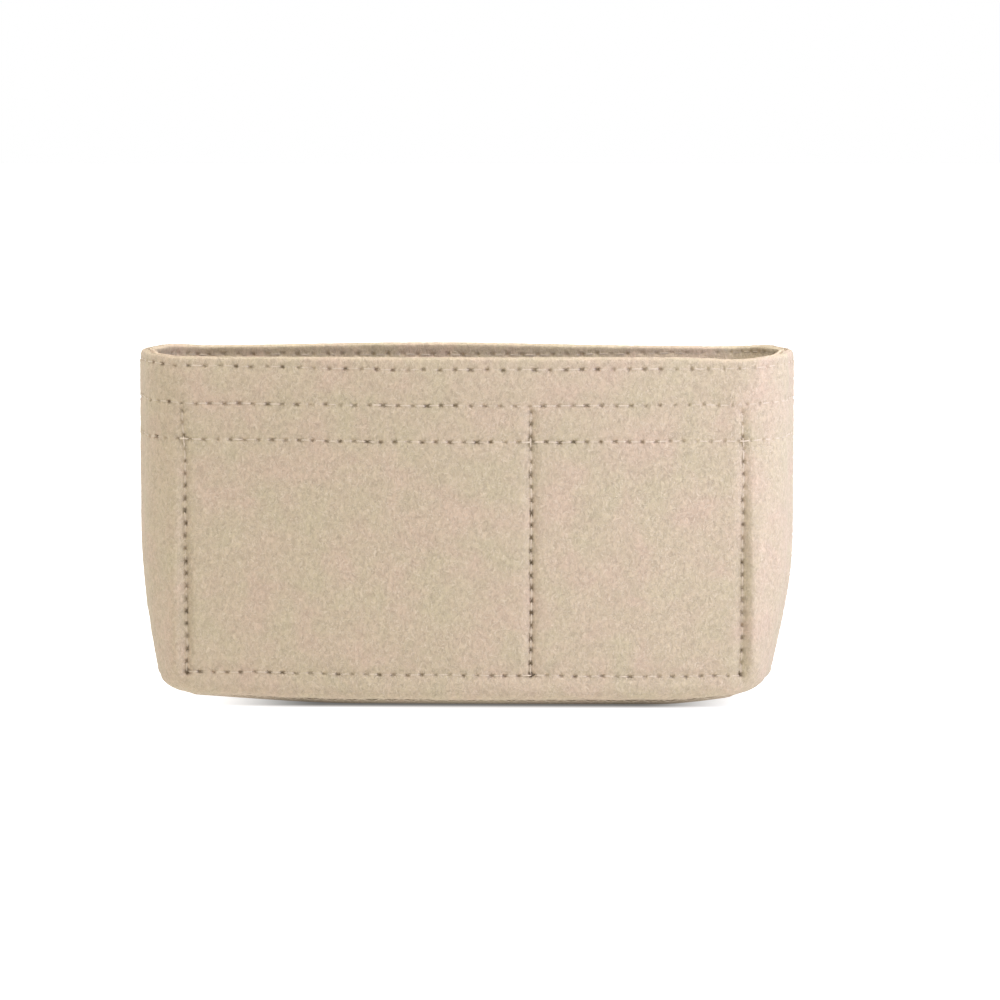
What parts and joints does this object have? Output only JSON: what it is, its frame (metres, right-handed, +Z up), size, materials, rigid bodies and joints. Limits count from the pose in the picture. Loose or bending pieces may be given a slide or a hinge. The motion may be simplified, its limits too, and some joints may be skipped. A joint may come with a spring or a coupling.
{
  "type": "purse organizer insert",
  "caption": "Open-top felt box that stands inside a bag and sorts small things: a main space and flat inner pockets sewn to its front and back walls.",
  "frame": {"origin": "on the floor under the middle of the base", "axes": "+Z up, -Y the front face seen in the picture, +X to that face's right; long side along X, short side along Y"},
  "size_m": [0.1992, 0.0712, 0.1055],
  "materials": {
    "outer_felt": "matte needle-punched felt, fine short fibres, slightly mottled beige",
    "facing_felt": "matte felt, the same cloth as the outer felt, one layer inside the rim",
    "pocket_felt": "matte felt, a little thinner than the outer felt",
    "thread": "twisted sewing thread in the felt's colour, slight sheen"
  },
  "bodies": {
    "root": {"front_shell": "outer_felt", "back_shell": "outer_felt", "base_panel": "outer_felt", "front_rim_facing": "facing_felt", "back_rim_facing": "facing_felt", "front_pocket_panel": "pocket_felt", "back_pocket_panel": "pocket_felt", "front_rim_row_outer_thread": "thread", "front_rim_row_inner_thread": "thread", "front_upper_row_outer_thread": "thread", "front_upper_row_inner_thread": "thread", "front_lower_row_outer_thread": "thread", "front_lower_row_inner_thread": "thread", "front_pocket_outline_outer_thread": "thread", "front_pocket_outline_inner_thread": "thread", "front_pocket_divider_outer_thread": "thread", "front_pocket_divider_inner_thread": "thread", "back_rim_row_outer_thread": "thread", "back_rim_row_inner_thread": "thread", "back_upper_row_outer_thread": "thread", "back_upper_row_inner_thread": "thread", "back_lower_row_outer_thread": "thread", "back_lower_row_inner_thread": "thread", "back_pocket_outline_outer_thread": "thread", "back_pocket_outline_inner_thread": "thread", "back_pocket_divider_outer_thread": "thread", "back_pocket_divider_inner_thread": "thread", "left_side_seam_outer_thread": "thread", "left_side_seam_inner_thread": "thread", "right_side_seam_outer_thread": "thread", "right_side_seam_inner_thread": "thread", "base_seam_outer_thread": "thread", "base_seam_inner_thread": "thread"}
  },
  "joints": []
}
